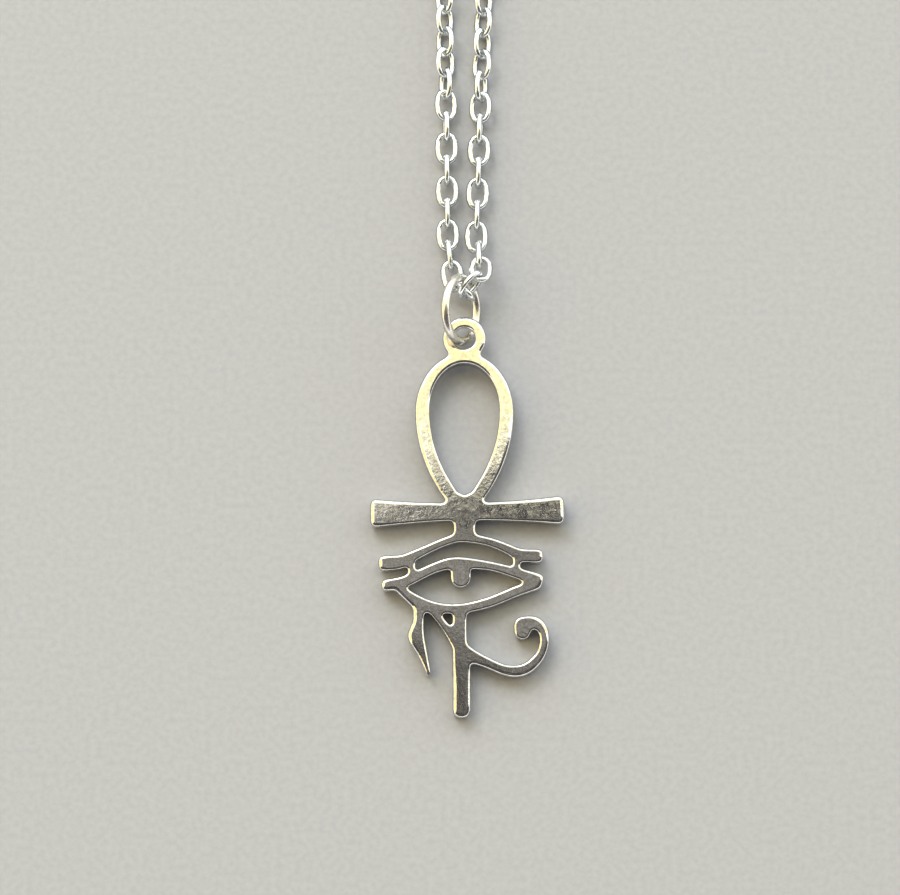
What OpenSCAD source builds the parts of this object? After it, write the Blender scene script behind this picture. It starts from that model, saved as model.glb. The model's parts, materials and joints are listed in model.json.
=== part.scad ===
// Ankh pendant with an open-work eye, on a jump ring and a cable chain necklace.
// It lies on a flat surface: the pendant points along -Y and the chain goes round along +Y.
// All lengths are in millimetres.

/* [Pendant] */
// Thickness of the cast pendant
pendant_t = 1.9; // [1.5:0.1:2.6]
// Radius of the rounded inner corners
fillet_r = 0.2; // [0.1:0.05:0.3]

/* [Loop] */
// Width of the ankh's loop, outside
loop_w = 9.94; // [8.5:0.1:13]
// Height of the loop above the middle of the crossbar
loop_h = 16.26; // [14:0.1:20]
// Width of the loop's band at its sides
loop_band = 1.47; // [1.1:0.05:1.9]
// Width of the loop's band at its top
loop_top_band = 1.13; // [1:0.05:1.6]

/* [Crossbar] */
// Length of the crossbar from end to end
bar_l = 19.4; // [16:0.1:26]
// Height of the crossbar at its middle
bar_mid_h = 1.8; // [1.5:0.05:2.4]
// Height of the crossbar at its flared ends
bar_end_h = 2.98; // [2.4:0.05:4]
// Radius of the crossbar's end corners
bar_corner_r = 0.5; // [0.2:0.05:0.7]
// Rise of the crossbar towards its right end, in degrees
bar_slope = 1; // [0:0.5:2]
// Width of the neck between the crossbar and the eye
neck_w = 2.18; // [1.6:0.05:3]

/* [Eye] */
// Width of the eye, from the left tip of the brow to its right tip
eye_w = 16.5; // [14.5:0.1:19]
// Height of the eye, from the top of the brow to the lower lid
eye_h = 8.08; // [7.2:0.1:9.5]
// Distance from the middle of the crossbar down to the brow
eye_drop = 2.02; // [1.8:0.05:3]
// Usual width of the strokes that draw the eye
line_w = 1; // [0.9:0.02:1.15]
// Radius of the strokes' outer corners
stroke_corner_r = 0.38; // [0.15:0.01:0.38]
// Width of the two short posts between brow and lid
post_w = 0.72; // [0.6:0.02:1]
// Width of the pupil
pupil_w = 2.02; // [1.6:0.05:2.6]

/* [Tail] */
// Length of the stem below the lower lid
stem_l = 10.86; // [9.5:0.1:13]
// Width of the stem
stem_w = 1.43; // [1.2:0.05:1.8]
// Radius of the corners of the stem's foot
foot_corner_r = 0.7; // [0.2:0.05:0.7]
// Length of the tear mark below the lower lid
tear_l = 6.97; // [6:0.1:8.5]
// Width of the curl, from the stem to its right edge
curl_w = 8.7; // [7.6:0.1:10]
// Height of the curl
curl_h = 6.04; // [5.4:0.1:6.8]

/* [Bail] */
// Width of the band of the bail, the small flat ring cast on top
bail_band = 1.1; // [0.8:0.05:1.4]
// Thickness of the bail
bail_t = 0.9; // [0.7:0.05:1.2]
// How far the bail runs into the top of the loop
bail_sink = 0.8; // [0.6:0.05:1]
// Distance above the loop at which the back of the bail steps in to its own thickness
bail_step = 0.3; // [0.2:0.05:0.4]
// Clearance of the jump ring's wire in the bail's hole
bail_gap = 0.16; // [0.12:0.02:0.4]

/* [Jump ring] */
// Outside diameter of the jump ring
ring_d = 7.3; // [6.9:0.1:8.4]
// Diameter of the jump ring's wire
ring_wire = 0.9; // [0.7:0.05:1]
// Lean of the jump ring, from flat, in degrees
ring_lean = 61; // [57:1:64]
// Turn of the jump ring, seen from above, in degrees
ring_turn = 6; // [3:1:9]
// Place in the bail's hole, in degrees round from the ring's near end
ring_pass = 25; // [22:1:28]

/* [Chain] */
// Length of a link, outside
link_l = 3.4; // [3.2:0.05:3.7]
// Width of a link, outside
link_w = 2.3; // [2.2:0.05:2.5]
// Diameter of the links' wire
link_wire = 0.5; // [0.4:0.02:0.52]
// Clearance between the wires of two links
link_gap = 0.12; // [0.1:0.01:0.2]
// Radius of the round part of the necklace
neck_r = 58; // [50:1:75]
// Radius of the bends that open the two strands out
flare_r = 30; // [20:1:45]
// Distance between the two strands where they open out
strand_gap = 4; // [3.6:0.1:8]
// Length of the two strands before they open out, from the jump ring
strand_l = 31.7; // [26:0.1:45]

/* [Clasp] */
// Diameter of the clasp's ring, to the middle of its wire
clasp_d = 4.6; // [4:0.1:7]
// Diameter of the clasp's wire
clasp_wire = 0.8; // [0.6:0.05:0.85]
// Diameter of the clasp's eyelet, to the middle of its wire
eyelet_d = 2; // [1.8:0.1:3]
// Diameter of the eyelet's wire
eyelet_wire = 0.6; // [0.45:0.05:0.7]
// Length of the bridge between the clasp's ring and its eyelet
bridge_l = 0.2; // [0.15:0.05:1]

/* [Hidden] */
$fn = 24;

// Where the bar, the eye and its tail lie
bar_aside = 0.27;
bar_lift = 0.12;
neck_overlap = 0.4;
brow_y = -eye_drop;
lid_down = 0.938;
stem_top = [-0.03 * eye_w, brow_y - lid_down * eye_h];
foot_y = stem_top.y - stem_l;
tear_top = [-0.279 * eye_w, brow_y - 0.912 * eye_h];
curl_start = stem_top + [0, -0.344 * stem_l];

// Half of the loop: where it is widest, and its handles as shares of half its width and that height
widest_y = 0.627 * loop_h;
inner_widest_y = 0.64 * loop_h;
inner_half_w = loop_w / 2 - loop_band;
round_handle = 0.55;
// columns: share of the half width, share of the height of the widest place
outer_leg = [[1, 0.676], [0.785, 0.382], [0.352, 0.108]];
inner_leg = [[1, 0.711], [0.743, 0.481], [0.214, 0.207]];
leg_foot = [0.262, 0.02];
inner_foot = 0.173;

// Strokes of the eye. Columns: share of eye_w from the middle, share of eye_h below the brow, share of line_w
brow = [
  [-0.521, 0.380, 1.55],
  [-0.397, 0.365, 1.45],
  [-0.342, 0.319, 1.15],
  [-0.209, 0.190, 0.89],
  [-0.088, 0.088, 0.89],
  [0.003, 0.061, 0.92],
  [0.155, 0.114, 0.91],
  [0.276, 0.215, 1.05],
  [0.342, 0.279, 1.30],
  [0.476, 0.288, 1.40]
];
upper_lid = [
  [-0.503, 0.656, 1.20],
  [-0.379, 0.619, 1.20],
  [-0.270, 0.519, 1.09],
  [-0.179, 0.433, 1.05],
  [-0.088, 0.379, 1.20],
  [0.003, 0.375, 1.16],
  [0.155, 0.410, 0.93],
  [0.276, 0.475, 1.05],
  [0.367, 0.534, 1.20],
  [0.476, 0.594, 1.25]
];
lower_lid = [
  [-0.403, 0.675, 0.90],
  [-0.342, 0.775, 1.10],
  [-0.282, 0.863, 1.40],
  [-0.209, 0.913, 1.25],
  [-0.118, 0.938, 1.02],
  [0.003, 0.931, 1.00],
  [0.155, 0.856, 1.06],
  [0.306, 0.729, 1.08],
  [0.464, 0.619, 1.10]
];
// columns: share of eye_w from the middle, shares of eye_h below the brow where the post starts and ends
posts = [[-0.318, 0.275, 0.575], [0.312, 0.230, 0.550]];
pupil = [-0.023, 0.375, 0.554];

// Strokes of the tail. Columns: shares of the stroke's length across and down, share of its width
stem = [
  [0, -0.030, 1],
  [0, 0.288, 1],
  [0.013, 0.456, 1.154],
  [0.018, 0.549, 1.245],
  [0.018, 1, 1.245]
];
strut = [
  [-0.257, 0, 0.90],
  [-0.150, 0.140, 0.81],
  [-0.089, 0.219, 1.00],
  [-0.033, 0.307, 1.20]
];
tear = [
  [0, -0.030, 1.20],
  [0, 0.217, 1.10],
  [-0.036, 0.399, 1.70],
  [0, 0.522, 1.45],
  [0.053, 0.652, 1.05],
  [0.130, 0.884, 0.55],
  [0.155, 0.986, 0.35]
];
curl = [
  [0, 0, 1.20],
  [0.138, 0.157, 1.32],
  [0.316, 0.273, 1.08],
  [0.489, 0.381, 1.06],
  [0.632, 0.414, 1.20],
  [0.759, 0.373, 1.15],
  [0.862, 0.257, 1.08],
  [0.937, 0.108, 0.96],
  [0.969, -0.083, 0.96],
  [0.957, -0.248, 1.02],
  [0.902, -0.364, 1.20],
  [0.816, -0.389, 1.40],
  [0.736, -0.356, 1.62]
];
curl_end = [[0.713, -0.348], [0.718, -0.240]];
curl_end_r = 0.83;

// Place of the jump ring's circle: through the middle of the bail's hole, down to the floor
ring_r = (ring_d - ring_wire) / 2;
ring_u = [sin(ring_turn), cos(ring_turn)];
ring_v = cos(ring_lean) * [-cos(ring_turn), sin(ring_turn)];
ring_z = ring_r * sin(ring_lean) + ring_wire / 2;
wire_rise = asin(cos(ring_pass) * sin(ring_lean));
hole_r = bail_t / 2 / tan(wire_rise) + (ring_wire / 2 + bail_gap) / sin(wire_rise);
// The hole's middle lies on a chord of the ring as long as the hole is wide, so the bow clears both rims
pass_r = sqrt(ring_r * ring_r - hole_r * hole_r);
pass_z = ring_z - pass_r * sin(ring_lean) * sin(ring_pass);
bail_r = hole_r + bail_band;
bail_y = loop_h - bail_sink + bail_r;

// The pendant rests on the back edge of its foot and is lifted at the bail by the jump ring
bail_reach = bail_y - foot_y;
bail_mid = pendant_t - bail_t / 2;
tilt = asin(pass_z / norm([bail_reach, bail_mid])) - atan(bail_mid / bail_reach);
pass_y = foot_y + bail_reach * cos(tilt) - bail_mid * sin(tilt);
ring_xy = [0, pass_y] + pass_r * (cos(ring_pass) * ring_u + sin(ring_pass) * ring_v);

// Chain: spacing of the links, and the route of one strand
link_r = (link_w - link_wire) / 2;
link_straight = link_l - link_w;
link_pitch = link_straight + 2 * link_r - link_wire - link_gap;
strand_x = strand_gap / 2;
strand_y = ring_xy.y + strand_l;
flare = acos((strand_x + flare_r) / (neck_r + flare_r));
neck_y = strand_y + (neck_r + flare_r) * sin(flare);

// Links at the jump ring, from the left strand to the right one, measured from the middle of the ring.
// Columns: across, along, height, heading from +Y, slope, roll
knee = [
  [-1.35, 8.15, 1.15, 177, 0, 0],
  [-1.2, 6, 1.35, 173, 1, 91],
  [-0.85, 3.8, 1.6, 171, 5, 1],
  [0.25, 2.15, 2.2, 135, 44, 91],
  [0.95, 2.5, 3.5, 41, 6, 115],
  [2, 4.2, 3, 3, -30, 0],
  [1.8, 5.9, 1.85, -1, -22, 91],
  [1.55, 7.9, 1.35, 0, -1, 3]
];

// The links alternate flat and upright near the pendant and the clasp, and lean both ways between
lean_start = 9;
lean_ease = 12;
full_lean = 45;

// Stretch on which a strand comes down from the knee to the surface
settle_l = 8;

// Clasp: half its reach, and the place of its ring and eyelet
hook = link_straight / 2 + link_r - (link_wire + clasp_wire) / 2 - link_gap;
clasp_half = (clasp_d + clasp_wire / 2 + bridge_l + eyelet_wire / 2 + eyelet_d) / 2;
end_angle = (clasp_half + hook) / neck_r * 180 / PI;
clasp_y = neck_y + neck_r * cos(end_angle) + hook * sin(end_angle);
clasp_z = link_w / 2;
clasp_ring_x = clasp_half - clasp_d / 2;
eyelet_x = -clasp_half + eyelet_d / 2;
bridge_d = 0.8 * eyelet_wire;

// The whole part is centred on its own box
front_y = foot_y - pendant_t * sin(tilt);
back_y = clasp_y + (clasp_d + clasp_wire) / 2;
centre_y = (front_y + back_y) / 2;

// Points of a cubic curve
function bezier(p0, p1, p2, p3, steps = 10) = [
  for (i = [0 : steps])
    let (t = i / steps, u = 1 - t)
      u * u * u * p0 + 3 * u * u * t * p1 + 3 * u * t * t * p2 + t * t * t * p3
];

// Smooth value between the rows b and c of a table, with the rows before and after them
function between(a, b, c, d, t) =
  b + t * (c - a) / 2 + t * t * (a - 2.5 * b + 2 * c - d / 2) + t * t * t * (1.5 * (b - c) + (d - a) / 2);

// A table's rows with smooth steps between them
function smooth(rows, steps) = let (last = len(rows) - 1) [
  for (i = [0 : last - 1], k = [0 : steps - 1])
    between(rows[max(i - 1, 0)], rows[i], rows[i + 1], rows[min(i + 2, last)], k / steps),
  rows[last]
];

function unit(v) = v / norm(v);
function left_of(v) = [-v.y, v.x];

// Outline of a stroke from rows of [x, y, width]
function stroke_outline(rows) =
  let (
    last = len(rows) - 1,
    points = [for (row = rows) [row.x, row.y]],
    sides = [for (i = [0 : last]) left_of(unit(points[min(i + 1, last)] - points[max(i - 1, 0)]))]
  )
  concat(
    [for (i = [0 : last]) points[i] + sides[i] * rows[i].z / 2],
    [for (i = [last : -1 : 0]) points[i] - sides[i] * rows[i].z / 2]
  );

// Draws a stroke from a table: origin, size of its shares across and down, size of its width share
module stroke(table, origin, across, down, width, steps = 2)
  polygon(stroke_outline(smooth([
    for (row = table) [origin.x + row.x * across, origin.y - row.y * down, row.z * width]
  ], steps)));

module eye_stroke(table) stroke(table, [0, brow_y], eye_w, eye_h, line_w);

// Rounds the outer corners of what it holds
module round_out(r) offset(r = r) offset(delta = -r) children();

// Rounds the inner corners of what it holds
module round_in(r) offset(r = -r) offset(delta = r) children();

// Closed half outline of the loop, mirrored to the other side
function half_loop(half_w, top_y, wide_y, leg, ends) = concat(
  bezier([0, top_y], [round_handle * half_w, top_y],
    [half_w, wide_y + round_handle * (top_y - wide_y)], [half_w, wide_y]),
  bezier([half_w, wide_y], [leg[0].x * half_w, leg[0].y * wide_y],
    [leg[1].x * half_w, leg[1].y * wide_y], [leg[2].x * half_w, leg[2].y * wide_y]),
  ends
);

module both_sides(points) {
  polygon(points);
  mirror([1, 0]) polygon(points);
}

module loop_shape() difference() {
  both_sides(half_loop(loop_w / 2, loop_h, widest_y, outer_leg,
    [[leg_foot.x * loop_w / 2, leg_foot.y * widest_y], [0, 0]]));
  both_sides(half_loop(inner_half_w, loop_h - loop_top_band, inner_widest_y, inner_leg,
    [[0, inner_foot * inner_widest_y]]));
}

module bar_shape() {
  half = bar_l / 2;
  steps = 12;
  xs = [for (i = [-steps : steps]) i / steps];
  function edge(x) = bar_mid_h / 2 + (bar_end_h - bar_mid_h) / 2 * x * x;
  translate([bar_aside, bar_lift]) rotate(bar_slope) round_out(bar_corner_r) polygon(concat(
    [for (x = xs) [x * half, edge(x)]],
    [for (x = xs) [-x * half, -edge(x)]]
  ));
}

module neck_shape() translate([-neck_w / 2, brow_y - neck_overlap]) square([neck_w, -brow_y + neck_overlap]);

module eye_shape() {
  round_out(stroke_corner_r) {
    eye_stroke(brow);
    eye_stroke(upper_lid);
    eye_stroke(lower_lid);
  }
  for (post = posts)
    translate([post[0] * eye_w - post_w / 2, brow_y - post[2] * eye_h])
      square([post_w, (post[2] - post[1]) * eye_h]);
  translate([pupil[0] * eye_w, brow_y - pupil[2] * eye_h]) {
    circle(d = pupil_w);
    translate([-pupil_w / 2, 0]) square([pupil_w, (pupil[2] - pupil[1]) * eye_h]);
  }
}

module tail_shape() {
  round_out(foot_corner_r) stroke(stem, stem_top, stem_l, stem_l, stem_w);
  stroke(strut, stem_top, stem_l, stem_l, line_w);
  stroke(tear, tear_top, tear_l, tear_l, line_w);
  stroke(curl, curl_start, curl_w, curl_h, line_w, steps = 3);
  hull()
    for (place = curl_end)
      translate(curl_start + [place.x * curl_w, -place.y * curl_h]) circle(r = curl_end_r * line_w);
}

module pendant_shape() round_in(fillet_r) {
  translate([0, bail_y]) circle(r = bail_r, $fn = 48);
  loop_shape();
  bar_shape();
  neck_shape();
  eye_shape();
  tail_shape();
}

// What is cut away at the bail: its hole, and the back of the pendant around it
module bail_cut() {
  translate([0, bail_y, -pendant_t]) cylinder(r = hole_r, h = 3 * pendant_t);
  translate([-2 * bail_r, loop_h + bail_step, -pendant_t])
    cube([4 * bail_r, 2 * bail_r, 2 * pendant_t - bail_t]);
}

module torus(mean_r, wire) rotate_extrude() translate([mean_r, 0]) circle(d = wire);

// One link along Y, flat in the XY plane, of wire with six sides
module link() for (side = [-1, 1]) {
  translate([0, side * link_straight / 2]) rotate(side > 0 ? 0 : 180)
    rotate_extrude(angle = 180) translate([link_r, 0]) circle(d = link_wire, $fn = 6);
  translate([side * link_r, -link_straight / 2, 0]) rotate([-90, 0, 0])
    cylinder(d = link_wire, h = link_straight, $fn = 6);
}

module placed_link(place, heading, slope, roll)
  translate(place) rotate([slope, 0, -heading]) rotate([0, -roll, 0]) link();

// A strand's links run from the knee's last link to the clasp. Side -1 is left, 1 is right
function knee_row(side) = side < 0 ? knee[0] : knee[len(knee) - 1];
function strand_start(side) = ring_xy + [knee_row(side).x, knee_row(side).y];
function strand_corner(side) = [side * strand_x, strand_y];
function lead_l(side) = norm(strand_corner(side) - strand_start(side));
flare_l = flare_r * flare * PI / 180;
arc_l = neck_r * (90 + flare) * PI / 180 - clasp_half - hook;
function strand_length(side) = lead_l(side) + flare_l + arc_l;

// An odd number of links, so that the last one stands upright as the first one does
function link_count(side) = 2 * ceil((strand_length(side) / link_pitch - 1) / 2) + 1;

// Place and heading on a strand, at the distance s from its start: straight, flare, then the round part
function on_lead(side, s) =
  let (way = unit(strand_corner(side) - strand_start(side)))
    [strand_start(side) + s * way, atan2(way.x, way.y)];
function on_flare(side, angle) =
  [strand_corner(side) + flare_r * [side * (1 - cos(angle)), sin(angle)], side * angle];
function on_round(side, angle) =
  [[side * neck_r * cos(angle), neck_y + neck_r * sin(angle)], -side * angle];
function on_strand(side, s) =
  s < lead_l(side) ? on_lead(side, s)
  : s < lead_l(side) + flare_l ? on_flare(side, (s - lead_l(side)) / flare_r * 180 / PI)
  : on_round(side, (s - lead_l(side) - flare_l) / neck_r * 180 / PI - flare);

function ease(t) = let (u = min(max(t, 0), 1)) u * u * (3 - 2 * u);
function lean_at(side, s) =
  full_lean * ease((s - lean_start) / lean_ease) * ease((strand_length(side) - s) / lean_ease);

// Height of a link's middle: upright and leaning links stand on their edges, flat ones hang level with them
function height_at(side, s) =
  link_r * cos(lean_at(side, s)) + link_wire / 2
  + (knee_row(side)[2] - link_w / 2) * (1 - ease(s / settle_l));

module strand(side, first) {
  count = link_count(side);
  for (i = [first : 2 : count - 1]) {
    s = (i + 1) * strand_length(side) / count;
    spot = on_strand(side, s);
    placed_link([spot[0].x, spot[0].y, height_at(side, s)], spot[1], 0,
      side * lean_at(side, s) + (i % 2 == 0 ? 90 : 0));
  }
}

module knee_links(first) for (i = [first : 2 : len(knee) - 1]) {
  row = knee[i];
  placed_link([ring_xy.x + row[0], ring_xy.y + row[1], row[2]], row[3], row[4], row[5]);
}

module centred() translate([0, -centre_y, 0]) children();

module pendant() color("silver") centred()
  translate([0, foot_y, 0]) rotate([tilt, 0, 0]) translate([0, -foot_y, 0]) difference() {
    linear_extrude(pendant_t) pendant_shape();
    bail_cut();
  }

module jump_ring() color("wheat") centred()
  translate([ring_xy.x, ring_xy.y, ring_z]) rotate([ring_lean, 0, 90 - ring_turn]) torus(ring_r, ring_wire);

module chain_links_a() color("gainsboro") centred() {
  strand(-1, 1);
  knee_links(0);
  strand(1, 0);
}

module chain_links_b() color("gainsboro") centred() {
  strand(-1, 0);
  knee_links(1);
  strand(1, 1);
}

module clasp() color("silver") centred() translate([0, clasp_y, clasp_z]) {
  translate([clasp_ring_x, 0]) torus(clasp_d / 2, clasp_wire);
  translate([eyelet_x, 0]) torus(eyelet_d / 2, eyelet_wire);
  translate([eyelet_x + eyelet_d / 2, 0]) rotate([0, 90, 0])
    cylinder(d = bridge_d, h = clasp_ring_x - eyelet_x - (clasp_d + eyelet_d) / 2);
}

pendant();
jump_ring();
chain_links_a();
chain_links_b();
clasp();
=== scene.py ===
import json
from math import cos, pi, radians, sin

import bmesh
import bpy
import numpy as np
from mathutils import Matrix, Vector
from mathutils.geometry import delaunay_2d_cdt


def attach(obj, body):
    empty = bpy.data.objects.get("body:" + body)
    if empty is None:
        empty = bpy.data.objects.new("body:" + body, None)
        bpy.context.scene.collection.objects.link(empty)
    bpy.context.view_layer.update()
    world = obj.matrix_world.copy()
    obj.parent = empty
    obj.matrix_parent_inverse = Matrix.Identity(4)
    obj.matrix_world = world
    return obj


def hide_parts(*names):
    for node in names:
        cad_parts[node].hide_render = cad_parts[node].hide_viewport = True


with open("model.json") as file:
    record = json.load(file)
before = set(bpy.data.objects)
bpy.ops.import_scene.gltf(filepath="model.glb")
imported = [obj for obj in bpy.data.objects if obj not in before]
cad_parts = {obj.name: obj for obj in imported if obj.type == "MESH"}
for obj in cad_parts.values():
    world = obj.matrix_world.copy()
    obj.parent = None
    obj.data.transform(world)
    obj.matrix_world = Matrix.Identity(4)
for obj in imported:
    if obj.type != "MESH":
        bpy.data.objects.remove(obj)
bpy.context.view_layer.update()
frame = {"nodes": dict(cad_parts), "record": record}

mm = 0.001
weld = 0.001 * mm       # corners of a CAD node closer than this are one
tiny = 1e-7             # mm, below which a length counts as none
scene = bpy.context.scene


def linearColour(hexText):
    channels = [int(hexText[i:i + 2], 16) / 255 for i in (1, 3, 5)]
    return [c / 12.92 if c <= 0.04045 else ((c + 0.055) / 1.055) ** 2.4 for c in channels] + [1.0]


def addNode(tree, kind, settings=None, values=None, links=None):
    node = tree.nodes.new(kind)
    for name, value in (settings or {}).items():
        setattr(node, name, value)
    for socket, value in (values or {}).items():
        node.inputs[socket].default_value = value
    for socket, source in (links or {}).items():
        tree.links.new(source, node.inputs[socket])
    return node


def setStops(ramp, stops):
    elements = ramp.color_ramp.elements
    while len(elements) > 1:
        elements.remove(elements[-1])
    elements[0].position, elements[0].color = stops[0][0], linearColour(stops[0][1])
    for place, colour in stops[1:]:
        elements.new(place).color = linearColour(colour)


def newMaterial(name):
    material = bpy.data.materials.new(name)
    material.use_nodes = True
    material.node_tree.nodes.clear()
    return material, material.node_tree


def linkObject(name, mesh, material=None):
    piece = bpy.data.objects.new(name, mesh)
    scene.collection.objects.link(piece)
    if material:
        mesh.materials.clear()
        mesh.materials.append(material)
    return piece


# wave, grain and pit are millimetres across, the heights millimetres deep
castLook = {
    "colour": "#cac9c6", "dullColour": "#b2b0ab", "roughness": (0.03, 0.14),
    "wave": 2.6, "waveHeight": 0.013, "grain": 0.34, "grainHeight": 0.0056, "pit": 0.5,
}
ringLook = {
    "colour": "#dad7cf", "dullColour": "#c6c2b8", "roughness": (0.22, 0.34),
    "wave": 1.8, "waveHeight": 0.006, "grain": 0.22, "grainHeight": 0.0010, "pit": 0.6,
}
chainLook = {
    "colour": "#e3e7e8", "dullColour": "#cfd2d2", "roughness": (0.17, 0.30),
    "wave": 1.2, "waveHeight": 0.010, "grain": 0.20, "grainHeight": 0.0012, "pit": 0.5,
}
noiseParts = {      # detail, roughness and distortion of each noise
    "wave": (3.5, 0.5, 0.0), "grain": (3.0, 0.6, 0.0), "pit": (4.0, 0.62, 0.4),
}
# levels of the pit noise between which the metal grows rougher and duller
patchParts = {"rough": (0.35, 0.68), "dull": (0.40, 0.66)}


def polishedMetal(name, look):
    # Object coordinates in millimetres, so that each scale is a real size
    material, tree = newMaterial(name)
    place = addNode(tree, "ShaderNodeTexCoord")
    inMm = addNode(tree, "ShaderNodeMapping", values={"Scale": (1 / mm,) * 3},
                   links={"Vector": place.outputs["Object"]})
    noise = {}
    for part, (detail, roughness, distortion) in noiseParts.items():
        values = {"Scale": 1 / look[part], "Detail": detail, "Roughness": roughness, "Distortion": distortion}
        noise[part] = addNode(tree, "ShaderNodeTexNoise", values=values,
                              links={"Vector": inMm.outputs[0]}).outputs[0]
    waves = addNode(tree, "ShaderNodeBump", values={"Strength": 1.0, "Distance": look["waveHeight"] * mm},
                    links={"Height": noise["wave"]})
    grain = addNode(tree, "ShaderNodeBump", values={"Strength": 1.0, "Distance": look["grainHeight"] * mm},
                    links={"Height": noise["grain"], "Normal": waves.outputs[0]})
    begin, end = patchParts["rough"]
    low, high = look["roughness"]
    roughness = addNode(tree, "ShaderNodeMapRange", values={1: begin, 2: end, 3: low, 4: high},
                        links={0: noise["pit"]})
    begin, end = patchParts["dull"]
    tint = addNode(tree, "ShaderNodeValToRGB", links={0: noise["pit"]})
    setStops(tint, [(begin, look["colour"]), (end, look["dullColour"])])
    shader = addNode(tree, "ShaderNodeBsdfPrincipled", values={"Metallic": 1.0},
                     links={"Base Color": tint.outputs[0], "Roughness": roughness.outputs[0],
                            "Normal": grain.outputs[0]})
    addNode(tree, "ShaderNodeOutputMaterial", links={"Surface": shader.outputs[0]})
    return material


# Cast stainless steel, tumbled and buffed: a soft mirror that still shows the cast skin, as slow waves
# and faint mottle
castSteel = polishedMetal("castSteel", castLook)
# Drawn steel wire, bent into a ring: satin and slightly warm, with a soft streak along the wire
ringWire = polishedMetal("ringWire", ringLook)
# Fine drawn steel wire, barrel polished as a chain: the whitest metal here, with small dents that glitter
chainWire = polishedMetal("chainWire", chainLook)
print("materials made")


pendantParts = {                # lengths in mm
    "spacing": 0.11,            # between points of the outline
    "shortest": 0.004,          # sides of the CAD outline below this are dropped
    "fineness": 3,              # points of the curve for each one kept
    "smoothing": (3, 9),        # passes that round the corners: everywhere, and at the blunt ends of strokes
    "tipRadius": (0.15, 0.30),  # half widths between which a stroke's end counts as sharp or blunt
    "rimIn": (0.25, 0.44),      # reach of the rounded rim over the face: among other strokes, and in the open
    "rimFall": 0.85,            # its reach down the wall, as a share of that
    "rimShare": 0.78,           # most of a thin stroke's half width that the rim may take
    "rimSteps": 7,
    "turnEase": 10,             # passes that ease the rim round the corners
    "openReach": 8.0,           # how far ahead other metal shields an edge from the buffing wheel
    "openStart": 0.1,           # and how near that begins
    "openRays": 7, "rayStep": 15,   # directions looked at, and degrees between them
    "openShares": (0.1, 0.6),   # shares of free directions that make an edge shielded and open
    "backRim": 0.20,
    "backSteps": 3,
    "bow": 0.0015,              # radians a mm by which the buffed face leans on, upwards from its level place
    "levelPlace": 5.0,          # above the crossbar
    "shoulder": (15.95, 16.30),     # where the back rises to the thin bail, above the crossbar
    "bailTip": 0.5,             # stretch at the bail's top that gives its thickness
}
mount = frame["record"]["mounts"][0]
faceNormal = -Vector(mount["axis"])
pendantFrame = Matrix.Translation(Vector(mount["pos_m"])) @ Matrix((
    (1, 0, 0, 0), (0, faceNormal.z, faceNormal.y, 0), (0, -faceNormal.y, faceNormal.z, 0), (0, 0, 0, 1)))


def frontLoops(node):
    # closed outlines of the flat front, metal on their left, in mm in the pendant's own frame
    mesh = bmesh.new()
    mesh.from_mesh(node.data)
    bmesh.ops.remove_doubles(mesh, verts=mesh.verts, dist=weld)
    mesh.transform(pendantFrame.inverted())
    mesh.normal_update()
    top = max(v.co.z for v in mesh.verts)
    for face in mesh.faces:
        face.tag = all(abs(v.co.z - top) < 2 * weld for v in face.verts)
    following = {}
    for corner in (c for face in mesh.faces if face.tag for c in face.loops):
        if not any(f.tag for f in corner.edge.link_faces if f is not corner.face):
            following[corner.vert] = corner.link_loop_next.vert
    loops = []
    while following:
        start, step = next(iter(following.items()))
        loop = [start]
        del following[start]
        while step is not start:
            loop.append(step)
            step = following.pop(step)
        loops.append(np.array([[v.co.x, v.co.y] for v in loop]) / mm)
    thickness = top / mm
    mesh.free()
    return loops, thickness


def easeAlong(values, passes, limit=np.inf):
    for _ in range(passes):
        values = np.minimum(values / 2 + (np.roll(values, 1, 0) + np.roll(values, -1, 0)) / 4, limit)
    return values


def smoothLoop(points, parts):
    # a centripetal curve through the corners, evenly spaced, then eased
    gaps = np.linalg.norm(np.roll(points, -1, 0) - points, axis=1)
    points = points[gaps > parts["shortest"]]
    count = len(points)
    fine = []
    for i in range(count):
        p0, p1, p2, p3 = (points[(i + k) % count] for k in (-1, 0, 1, 2))
        t1, t2, t3 = np.cumsum([np.linalg.norm(b - a) ** 0.5 for a, b in ((p0, p1), (p1, p2), (p2, p3))])
        steps = max(1, int(np.linalg.norm(p2 - p1) / parts["spacing"] * parts["fineness"]))
        for k in range(steps):
            t = t1 + (t2 - t1) * k / steps
            a1 = p0 + (p1 - p0) * t / t1
            a2 = p1 + (p2 - p1) * (t - t1) / (t2 - t1)
            a3 = p2 + (p3 - p2) * (t - t2) / (t3 - t2)
            b1 = a1 + (a2 - a1) * t / t2
            b2 = a2 + (a3 - a2) * (t - t1) / (t3 - t1)
            fine.append(b1 + (b2 - b1) * (t - t1) / (t2 - t1))
    fine = np.array(fine + fine[:1])
    along = np.concatenate([[0], np.cumsum(np.linalg.norm(np.diff(fine, axis=0), axis=1))])
    even = np.linspace(0, along[-1], int(along[-1] / parts["spacing"]), endpoint=False)
    loop = np.stack([np.interp(even, along, fine[:, k]) for k in (0, 1)], 1)
    return easeAlong(loop, parts["smoothing"][0])


def inwardNormals(loop):
    way = np.roll(loop, -1, 0) - np.roll(loop, 1, 0)
    way /= np.linalg.norm(way, axis=1)[:, None]
    return np.stack([-way[:, 1], way[:, 0]], 1)


def freeRadii(loops, normals):
    # radius of the largest circle that touches the outline at each point and stays inside the metal
    every = np.concatenate(loops)
    result = []
    for loop, normal in zip(loops, normals):
        radii = np.empty(len(loop))
        for i, (p, n) in enumerate(zip(loop, normal)):
            d = every - p
            ahead = d @ n
            near = ahead > tiny
            radii[i] = np.min((d[near] ** 2).sum(1) / (2 * ahead[near]))
        result.append(radii)
    return result


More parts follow.
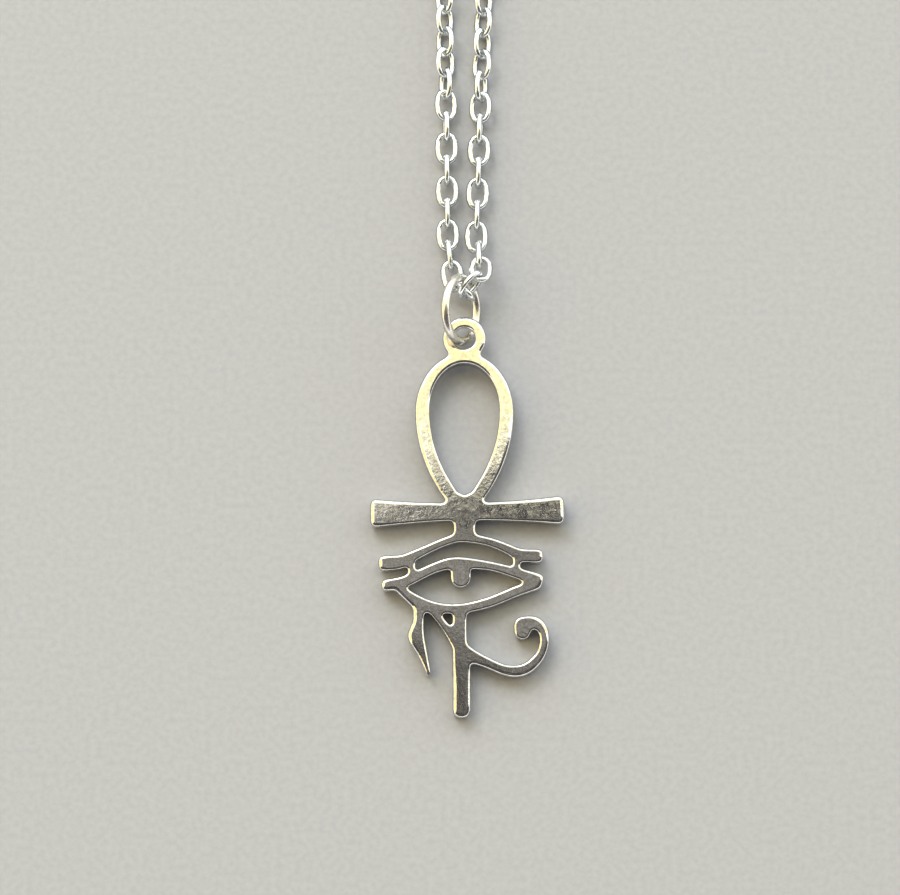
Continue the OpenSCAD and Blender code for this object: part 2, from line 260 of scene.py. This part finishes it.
def openShares(loops, normals, parts):
    # share of a fan of directions ahead of each point that meets no metal
    every = np.concatenate(loops)
    rays = parts["openRays"]
    result = []
    for loop, normal in zip(loops, normals):
        shares = np.empty(len(loop))
        for i, (p, n) in enumerate(zip(loop, normal)):
            d = every - p
            ahead, aside = -d @ n, d @ np.array([n[1], -n[0]])
            ray = np.floor(np.degrees(np.arctan2(aside, ahead)) / parts["rayStep"] + rays / 2)
            close = (np.hypot(ahead, aside) < parts["openReach"]) & (ahead > parts["openStart"])
            shares[i] = 1 - len(np.unique(ray[close & (ray >= 0) & (ray < rays)])) / rays
        result.append(shares)
    return result


def insideOf(points, loops):
    # true where a line to the side crosses the outlines an odd number of times
    inside = np.zeros(len(points), bool)
    for loop in loops:
        for (x0, y0), (x1, y1) in zip(loop, np.roll(loop, -1, 0)):
            level = (y0 > points[:, 1]) != (y1 > points[:, 1])
            if level.any():
                inside[level] ^= points[level, 0] < x0 + (points[level, 1] - y0) * (x1 - x0) / (y1 - y0)
    return inside


def bailThickness(tip):
    # the bail is thinner than the pendant, with its face flush and its back raised
    inverse = pendantFrame.inverted()
    points = [inverse @ v.co for v in frame["nodes"]["pendant"].data.vertices]
    highest = max(p.y for p in points)
    return (max(p.z for p in points) - min(p.z for p in points if p.y > highest - tip * mm)) / mm


def strokeLoops(loops, parts):
    # smooth outlines, the outer one last and with its blunt ends rounded further
    few, many = parts["smoothing"]
    loops = sorted((smoothLoop(loop, parts) for loop in loops), key=len)
    firm = loops.pop()
    soft = easeAlong(firm, many)
    width = easeAlong(freeRadii([soft], [inwardNormals(soft)])[0], few)
    return loops + [firm + (soft - firm) * np.interp(width, parts["tipRadius"], (0, 1))[:, None]]


def wallRings(parts, rimIn, backIn, thickness, backZ):
    # from the face over the rim, down the wall and under the back: inset, height, and the normal's two parts
    rimDown = rimIn * parts["rimFall"]
    rings = []
    for k in range(parts["rimSteps"] + 1):
        a = pi / 2 * k / parts["rimSteps"]      # 0 on the face, a quarter turn on the wall
        rings.append((rimIn * (1 - sin(a)), thickness - rimDown * (1 - cos(a)),
                      rimDown * sin(a), rimIn * cos(a)))
    for k in range(parts["backSteps"], -1, -1):
        a = pi / 2 * k / parts["backSteps"]
        rings.append((backIn * (1 - sin(a)), backZ + backIn * (1 - cos(a)),
                      backIn * sin(a), -backIn * cos(a)))
    return rings


def capFaces(side, rings, vertices, shoulder):
    # triangles that fill the face or the back between the innermost rings
    index = [v for ring in rings for v in ring]
    at = {v: n for n, v in enumerate(index)}
    edges = [(at[ring[i - 1]], at[ring[i]]) for ring in rings for i in range(len(ring))]
    if side == "back":      # chords across the shoulder, so that it rises evenly
        low, high = shoulder
        slope = [v for v in max(rings, key=len) if low < vertices[v][1] < high]
        slope.sort(key=lambda v: vertices[v][1])
        edges += [(at[a], at[b]) for a, b in zip([v for v in slope if vertices[v][0] < 0],
                                                 [v for v in slope if vertices[v][0] > 0])]
    flat = [Vector(vertices[v][:2]) for v in index]
    withinEdges = 1         # the kind of result that leaves out what lies round the outermost ring
    made, _, triangles, origins = delaunay_2d_cdt(flat, edges, [], withinEdges, tiny)[:4]
    middles = np.array([sum((made[v] for v in t), Vector((0, 0))) / 3 for t in triangles])
    kept = insideOf(middles, [np.array([vertices[v][:2] for v in ring]) for ring in rings])
    print(side, "cap", len(flat), "points in,", len(made), "out,", int(kept.sum()), "triangles")
    faces = []
    for triangle in [t for t, keep in zip(triangles, kept) if keep]:
        corners = [index[origins[v][0]] if origins[v] else None for v in triangle]
        if None not in corners:
            faces.append(tuple(corners if side == "front" else corners[::-1]))
    return faces


def buildPendant(parts):
    loops, thickness = frontLoops(frame["nodes"]["pendant"])
    loops = strokeLoops(loops, parts)
    inward = [inwardNormals(loop) for loop in loops]
    free = freeRadii(loops, inward)
    openness = openShares(loops, inward, parts)
    low, high = parts["shoulder"]
    backStep = thickness - bailThickness(parts["bailTip"])
    ease = parts["turnEase"]
    vertices, normals, faces = [], [], []
    capRings = {"front": [], "back": []}
    for loop, inner, room, share in zip(loops, inward, free, openness):
        inner = easeAlong(inner, ease)
        inner /= np.linalg.norm(inner, axis=1)[:, None]
        limit = parts["rimShare"] * room
        full = np.interp(easeAlong(share, ease), parts["openShares"], parts["rimIn"])
        rimIn = easeAlong(np.minimum(full, limit), ease, limit)
        backIn = easeAlong(np.minimum(parts["backRim"], limit), ease, limit)
        rise = np.clip((loop[:, 1] - low) / (high - low), 0, 1)
        backZ = backStep * rise * rise * (3 - 2 * rise)
        rings = wallRings(parts, rimIn, backIn, thickness, backZ)
        count, first = len(loop), len(vertices)
        for inset, z, out, up in rings:
            flat = loop + inner * inset[:, None]
            outward = -inner * (np.zeros(count) + out)[:, None]
            normal = np.column_stack([outward, np.zeros(count) + up])
            normal[:, 1] += np.maximum(up, 0) * parts["bow"] * (loop[:, 1] - parts["levelPlace"])
            normals.extend(normal / np.linalg.norm(normal, axis=1)[:, None])
            vertices.extend(np.column_stack([flat, np.zeros(count) + z]))
        for r in range(len(rings) - 1):
            for i in range(count):
                j = (i + 1) % count
                faces.append((first + r * count + j, first + r * count + i,
                              first + (r + 1) * count + i, first + (r + 1) * count + j))
        capRings["front"].append(list(range(first, first + count)))
        capRings["back"].append(list(range(first + (len(rings) - 1) * count, first + len(rings) * count)))
    for side, rings in capRings.items():
        faces += capFaces(side, rings, vertices, parts["shoulder"])
    mesh = bpy.data.meshes.new("pendantCasting")
    mesh.from_pydata([pendantFrame @ (Vector(v) * mm) for v in vertices], [], faces)
    mesh.validate()
    mesh.shade_smooth()
    turn = pendantFrame.to_3x3()
    mesh.normals_split_custom_set_from_vertices([turn @ Vector(n) for n in normals])
    return linkObject("pendantCasting", mesh, castSteel)


pendant = buildPendant(pendantParts)
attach(pendant, "root")
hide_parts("pendant")
print("pendant made")


def islands(node):
    # the separate bodies of a node, as arrays of points
    mesh = bmesh.new()
    mesh.from_mesh(node.data)
    bmesh.ops.remove_doubles(mesh, verts=mesh.verts, dist=weld)
    seen, found = set(), []
    for start in mesh.verts:
        if start in seen:
            continue
        seen.add(start)
        stack, body = [start], []
        while stack:
            vertex = stack.pop()
            body.append(vertex.co[:])
            for edge in vertex.link_edges:
                other = edge.other_vert(vertex)
                if other not in seen:
                    seen.add(other)
                    stack.append(other)
        found.append(np.array(body))
    mesh.free()
    return found


def placeOf(points):
    # middle of a link, and its turn from the way its three widths differ
    middle = points.mean(0)
    _, axes = np.linalg.eigh(np.cov((points - middle).T))
    turn = Matrix([axes[:, 1], axes[:, 2], axes[:, 0]]).transposed()
    if turn.determinant() < 0:
        turn = turn @ Matrix.Diagonal((1, 1, -1))
    return middle, turn.to_euler()


def wireTree():
    # a closed oval link of round wire on each point, turned by the point's attribute
    tree = bpy.data.node_groups.new("wireLinks", "GeometryNodeTree")
    for name, kind in (("Points", "Geometry"), ("Length", "Float"), ("Width", "Float"), ("Wire", "Float"),
                       ("Bend", "Float"), ("Steps", "Int"), ("Sides", "Int"), ("Metal", "Material")):
        tree.interface.new_socket(name, in_out="INPUT", socket_type="NodeSocket" + kind)
    tree.interface.new_socket("Links", in_out="OUTPUT", socket_type="NodeSocketGeometry")
    given = addNode(tree, "NodeGroupInput").outputs
    circle = addNode(tree, "GeometryNodeCurvePrimitiveCircle", values={"Radius": 1.0},
                     links={"Resolution": given["Steps"]})
    spot = addNode(tree, "GeometryNodeInputPosition")
    unit = addNode(tree, "ShaderNodeSeparateXYZ", links={0: spot.outputs[0]})
    shaped = {}
    for k, extent in enumerate(("Width", "Length")):
        # a power below one squares the oval's shoulders
        size = addNode(tree, "ShaderNodeMath", {"operation": "ABSOLUTE"}, links={0: unit.outputs[k]})
        grown = addNode(tree, "ShaderNodeMath", {"operation": "POWER"},
                        links={0: size.outputs[0], 1: given["Bend"]})
        side = addNode(tree, "ShaderNodeMath", {"operation": "SIGN"}, links={0: unit.outputs[k]})
        share = addNode(tree, "ShaderNodeMath", {"operation": "MULTIPLY"},
                        links={0: grown.outputs[0], 1: side.outputs[0]})
        across = addNode(tree, "ShaderNodeMath", {"operation": "SUBTRACT"},
                         links={0: given[extent], 1: given["Wire"]})
        reach = addNode(tree, "ShaderNodeMath", {"operation": "DIVIDE"}, {1: 2.0}, {0: across.outputs[0]})
        shaped[k] = addNode(tree, "ShaderNodeMath", {"operation": "MULTIPLY"},
                            links={0: share.outputs[0], 1: reach.outputs[0]}).outputs[0]
    oval = addNode(tree, "ShaderNodeCombineXYZ", links=shaped)
    path = addNode(tree, "GeometryNodeSetPosition",
                   links={"Geometry": circle.outputs[0], "Position": oval.outputs[0]})
    wireRadius = addNode(tree, "ShaderNodeMath", {"operation": "DIVIDE"}, {1: 2.0}, {0: given["Wire"]})
    profile = addNode(tree, "GeometryNodeCurvePrimitiveCircle",
                      links={"Resolution": given["Sides"], "Radius": wireRadius.outputs[0]})
    link = addNode(tree, "GeometryNodeCurveToMesh",
                   links={"Curve": path.outputs[0], "Profile Curve": profile.outputs[0]})
    turn = addNode(tree, "GeometryNodeInputNamedAttribute", {"data_type": "FLOAT_VECTOR"}, {"Name": "turn"})
    rotation = addNode(tree, "FunctionNodeEulerToRotation", links={0: turn.outputs[0]})
    copies = addNode(tree, "GeometryNodeInstanceOnPoints",
                     links={"Points": given["Points"], "Instance": link.outputs[0],
                            "Rotation": rotation.outputs[0]})
    real = addNode(tree, "GeometryNodeRealizeInstances", links={0: copies.outputs[0]})
    smooth = addNode(tree, "GeometryNodeSetShadeSmooth", links={"Geometry": real.outputs[0]})
    finished = addNode(tree, "GeometryNodeSetMaterial",
                       links={"Geometry": smooth.outputs[0], "Material": given["Metal"]})
    addNode(tree, "NodeGroupOutput", links={0: finished.outputs[0]})
    return tree


wireLinks = wireTree()


def wirePiece(name, places, sizes, metal):
    # points that carry the turns go in, one plain mesh comes out
    mesh = bpy.data.meshes.new(name)
    mesh.from_pydata([middle for middle, _ in places], [], [])
    turns = mesh.attributes.new("turn", "FLOAT_VECTOR", "POINT")
    turns.data.foreach_set("vector", [angle for _, turn in places for angle in turn])
    points = linkObject(name + "Points", mesh)
    modifier = points.modifiers.new("wire", "NODES")
    modifier.node_group = wireLinks
    values = {**sizes, "Metal": metal}
    for item in wireLinks.interface.items_tree:
        if item.in_out == "INPUT" and item.name in values:
            modifier[item.identifier] = values[item.name]
    evaluated = points.evaluated_get(bpy.context.evaluated_depsgraph_get())
    made = bpy.data.meshes.new_from_object(evaluated)
    made.name = name
    bpy.data.objects.remove(points)
    return linkObject(name, made, metal)


chainParts = {
    "Length": 3.54 * mm, "Width": 2.44 * mm, "Wire": 0.60 * mm,
    "Bend": 0.83, "Steps": 14, "Sides": 5,
}
chainPlaces = [placeOf(body) for node in ("chain_links_a", "chain_links_b")
               for body in islands(frame["nodes"][node])]
chain = wirePiece("cableChain", chainPlaces, chainParts, chainWire)
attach(chain, "root")
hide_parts("chain_links_a", "chain_links_b")
print("chain of", len(chainPlaces), "links made")

ringParts = {
    "Length": 7.3 * mm, "Width": 7.3 * mm, "Wire": 0.9 * mm,
    "Bend": 1.0, "Steps": 72, "Sides": 20,
}
ringPlaces = [placeOf(body) for body in islands(frame["nodes"]["jump_ring"])]
jumpRing = wirePiece("jumpRing", ringPlaces, ringParts, ringWire)
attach(jumpRing, "root")
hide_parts("jump_ring")
print("jump ring made")

# The clasp keeps its own solid and takes the chain's finish
clasp = frame["nodes"]["clasp"]
clasp.data.materials.clear()
clasp.data.materials.append(chainWire)
print("clasp finished")


floorParts = {
    "size": 6.0,        # metres
    "drop": 0.01,       # mm below what rests on it, so that the two faces don't fight
    "tint": [(0.3, "#999a9f"), (0.7, "#a0a1a6")],
    "grain": 0.6, "tooth": 0.02,    # mm across and deep
}


def buildFloor(parts):
    # Matt card: even, with a faint tooth that keeps it from looking empty
    half = parts["size"] / 2
    mesh = bpy.data.meshes.new("floor")
    mesh.from_pydata([(-half, -half, 0), (half, -half, 0), (half, half, 0), (-half, half, 0)], [],
                     [(0, 1, 2, 3)])
    material, tree = newMaterial("mattCard")
    place = addNode(tree, "ShaderNodeTexCoord")
    tooth = addNode(tree, "ShaderNodeTexNoise", values={"Scale": 1 / (parts["grain"] * mm), "Detail": 2.0},
                    links={"Vector": place.outputs["Object"]})
    tint = addNode(tree, "ShaderNodeValToRGB", links={0: tooth.outputs[0]})
    setStops(tint, parts["tint"])
    bump = addNode(tree, "ShaderNodeBump", values={"Strength": 0.3, "Distance": parts["tooth"] * mm},
                   links={"Height": tooth.outputs[0]})
    shader = addNode(tree, "ShaderNodeBsdfPrincipled", values={"Roughness": 0.85, "Specular IOR Level": 0.2},
                     links={"Base Color": tint.outputs[0], "Normal": bump.outputs[0]})
    addNode(tree, "ShaderNodeOutputMaterial", links={"Surface": shader.outputs[0]})
    floor = linkObject("floor", mesh, material)
    floor.location.z = -parts["drop"] * mm


buildFloor(floorParts)
print("floor made")

roomParts = {
    "strength": 2.5,
    # from straight above towards the window: pale ceiling panel, then the window, then the far wall
    "along": [(0.12, "#fffef2"), (0.15, "#f0e4ae"), (0.26, "#f0e4ae"), (0.40, "#ecf7ff"), (0.90, "#ecf7ff"),
              (0.98, "#c4c6c8")],
    "warm": "#ffe7a2",              # low sun on the wall to the left
    "warmEdge": (0.05, 0.40),
    # the shaded side with the viewer: things half seen, darker lower down
    "shade": [(0.34, "#0e0e0f"), (0.67, "#83807c")],
    "shadeSpots": 17.0,             # things across the room
    "shadeFall": 0.9, "shadeLowest": -0.1,
    "shadeEdge": (0.118, 0.128),    # where it gives way to the ceiling
    "shadeLeft": 0.7, "shadeRight": 0.18,
    "horizon": "#efedea",           # pale wall all round, low down
    "horizonEdge": (0.22, 0.36),
}


def buildRoom(parts):
    # The room around: pale ceiling, a window beyond the chain, and the shaded side towards the viewer
    world = bpy.data.worlds.new("room")
    world.use_nodes = True
    tree = world.node_tree
    tree.nodes.clear()
    way = addNode(tree, "ShaderNodeTexCoord").outputs["Generated"]
    axis = addNode(tree, "ShaderNodeSeparateXYZ", links={0: way})
    spots = addNode(tree, "ShaderNodeTexNoise", values={"Scale": parts["shadeSpots"], "Detail": 2.0},
                    links={"Vector": way})
    level = {"x": axis.outputs[0], "y": axis.outputs[1], "z": axis.outputs[2], "spots": spots.outputs[0]}
    # each row works out one level from a direction's parts and the rows above it
    for name, operation, *terms in (
            ("left", "MULTIPLY", "x", -1.0),
            ("toLeft", "MAXIMUM", "left", 0.0),
            ("toRight", "MAXIMUM", "x", 0.0),
            ("leftShare", "MULTIPLY", "toLeft", parts["shadeLeft"]),
            ("rightShare", "MULTIPLY", "toRight", parts["shadeRight"]),
            ("aside", "ADD", "leftShare", "rightShare"),
            ("openness", "ADD", "y", "aside"),
            ("ahead", "MAXIMUM", "y", 0.0),
            ("sunny", "SUBTRACT", "toLeft", "ahead"),
            ("height", "MAXIMUM", "y", parts["shadeLowest"]),
            ("fall", "MULTIPLY", "height", parts["shadeFall"]),
            ("seen", "ADD", "spots", "fall")):
        numbers = {k: term for k, term in enumerate(terms) if isinstance(term, float)}
        sources = {k: level[term] for k, term in enumerate(terms) if isinstance(term, str)}
        level[name] = addNode(tree, "ShaderNodeMath", {"operation": operation}, numbers, sources).outputs[0]
    for name, source, limits in (
            ("warm", "sunny", parts["warmEdge"]),
            ("lit", "openness", parts["shadeEdge"]),
            ("high", "z", parts["horizonEdge"])):
        level[name] = addNode(tree, "ShaderNodeMapRange", {"interpolation_type": "SMOOTHSTEP"},
                              {1: limits[0], 2: limits[1]}, {0: level[source]}).outputs[0]
    along = addNode(tree, "ShaderNodeValToRGB", links={0: level["y"]})
    setStops(along, parts["along"])
    shade = addNode(tree, "ShaderNodeValToRGB", links={0: level["seen"]})
    setStops(shade, parts["shade"])
    # a colour Mix takes its share in 0 and its colours in 6 and 7, and gives the result in 2
    bright = addNode(tree, "ShaderNodeMix", {"data_type": "RGBA"}, {7: linearColour(parts["warm"])},
                     {0: level["warm"], 6: along.outputs[0]})
    above = addNode(tree, "ShaderNodeMix", {"data_type": "RGBA"}, {},
                    {0: level["lit"], 6: shade.outputs[0], 7: bright.outputs[2]})
    whole = addNode(tree, "ShaderNodeMix", {"data_type": "RGBA"}, {6: linearColour(parts["horizon"])},
                    {0: level["high"], 7: above.outputs[2]})
    light = addNode(tree, "ShaderNodeBackground", values={"Strength": parts["strength"]},
                    links={0: whole.outputs[2]})
    addNode(tree, "ShaderNodeOutputWorld", links={0: light.outputs[0]})
    scene.world = world


buildRoom(roomParts)
print("room made")

lampParts = {
    "place": (-0.35, 0.55, 0.75), "target": (0, -0.08, 0), "size": 0.5,     # metres
    "power": 6.0, "colour": "#fffaf0",
}


def aim(thing, place, target):
    thing.location = place
    thing.rotation_euler = (Vector(target) - Vector(place)).to_track_quat("-Z", "Y").to_euler()


def buildLamp(parts):
    data = bpy.data.lights.new("softBox", "AREA")
    data.shape, data.size, data.energy = "SQUARE", parts["size"], parts["power"]
    data.color = linearColour(parts["colour"])[:3]
    lamp = bpy.data.objects.new("softBox", data)
    scene.collection.objects.link(lamp)
    aim(lamp, parts["place"], parts["target"])


buildLamp(lampParts)

# The photograph shows 10 pixels a millimetre and is 900 pixels wide
cameraParts = {
    "elevation": 81.0,              # degrees above the floor, seen from the front
    "distance": 300.0, "viewWidth": 90.2, "middle": (-1.45, 6.57, 2.0),     # mm, the last from the mount
    "clip": (0.01, 20),             # metres
}


def buildCamera(parts):
    x, y, z = parts["middle"]
    target = Vector((x * mm, mount["pos_m"][1] + y * mm, z * mm))
    tilt = radians(parts["elevation"])
    place = target + Vector((0, -cos(tilt), sin(tilt))) * parts["distance"] * mm
    data = bpy.data.cameras.new("camera")
    data.sensor_fit = "HORIZONTAL"
    data.lens = data.sensor_width * parts["distance"] / parts["viewWidth"]
    data.clip_start, data.clip_end = parts["clip"]
    camera = bpy.data.objects.new("camera", data)
    scene.collection.objects.link(camera)
    aim(camera, place, target)
    scene.camera = camera


buildCamera(cameraParts)
scene.view_settings.view_transform = "Standard"
print("lamp and camera made")
